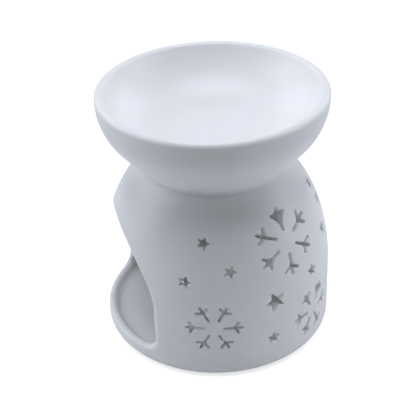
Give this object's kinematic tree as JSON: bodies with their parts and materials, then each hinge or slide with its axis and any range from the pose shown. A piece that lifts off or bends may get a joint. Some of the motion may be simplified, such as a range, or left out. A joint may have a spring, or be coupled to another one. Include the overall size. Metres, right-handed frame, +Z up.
{
  "type": "tealight holder",
  "caption": "Pierced porcelain dome with a raised-sill doorway, joined to a shallow warming dish, with a foil-cup tealight that slides out.",
  "frame": {"origin": "on the table, at the centre of the round base", "axes": "+Z up along the axis of the dome and dish, -X out through the middle of the doorway"},
  "size_m": [0.1024, 0.1024, 0.1152],
  "materials": {
    "porcelain": "glossy white glaze",
    "cup_foil": "bright pressed foil",
    "candle_wax": "waxy, slightly translucent",
    "tab_steel": "plain tinned steel",
    "wick_cotton": "waxed cotton braid"
  },
  "bodies": {
    "burner": {"body": "porcelain", "dish": "porcelain"},
    "tealight": {"tealight_cup": "cup_foil", "tealight_wax": "candle_wax", "wick_tab": "tab_steel", "wick": "wick_cotton"}
  },
  "joints": [
    {"name": "tealight_out", "type": "slide", "parent": "burner", "child": "tealight", "axis": [-0.9848, 0, 0.1736], "range_m": [0, 0.08]}
  ]
}
